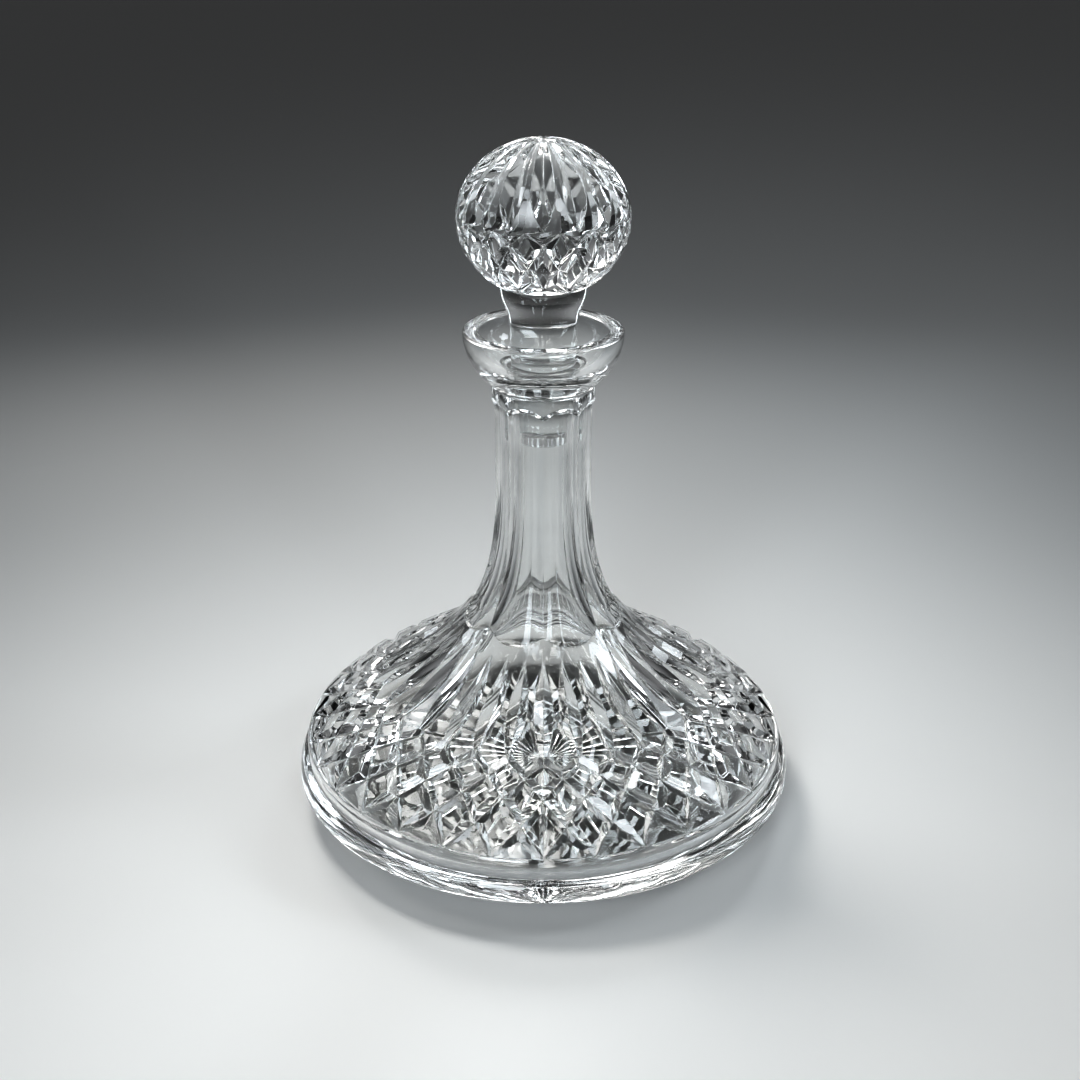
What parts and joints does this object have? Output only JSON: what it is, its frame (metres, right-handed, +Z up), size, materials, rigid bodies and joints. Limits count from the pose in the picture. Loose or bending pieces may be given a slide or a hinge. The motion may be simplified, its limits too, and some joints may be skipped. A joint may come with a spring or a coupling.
{
  "type": "ships decanter",
  "caption": "Broad-based cut-glass ships decanter with a fluted neck, a bowl-shaped pouring lip and a lift-out cut ball stopper.",
  "frame": {"origin": "middle of the foot, on the surface that the decanter stands on", "axes": "+Z up along the axis of the neck; a tip of the body's diamond band faces -Y, the front"},
  "size_m": [0.192, 0.192, 0.2525],
  "materials": {
    "vessel_glass": "polished, cut",
    "stopper_glass": "polished, cut"
  },
  "bodies": {
    "vessel": {"decanter_body": "vessel_glass"},
    "stopper": {"stopper": "stopper_glass"}
  },
  "joints": [
    {"name": "stopper_lift", "type": "slide", "parent": "vessel", "child": "stopper", "axis": [0, 0, 1], "range_m": [0, 0.1]}
  ]
}
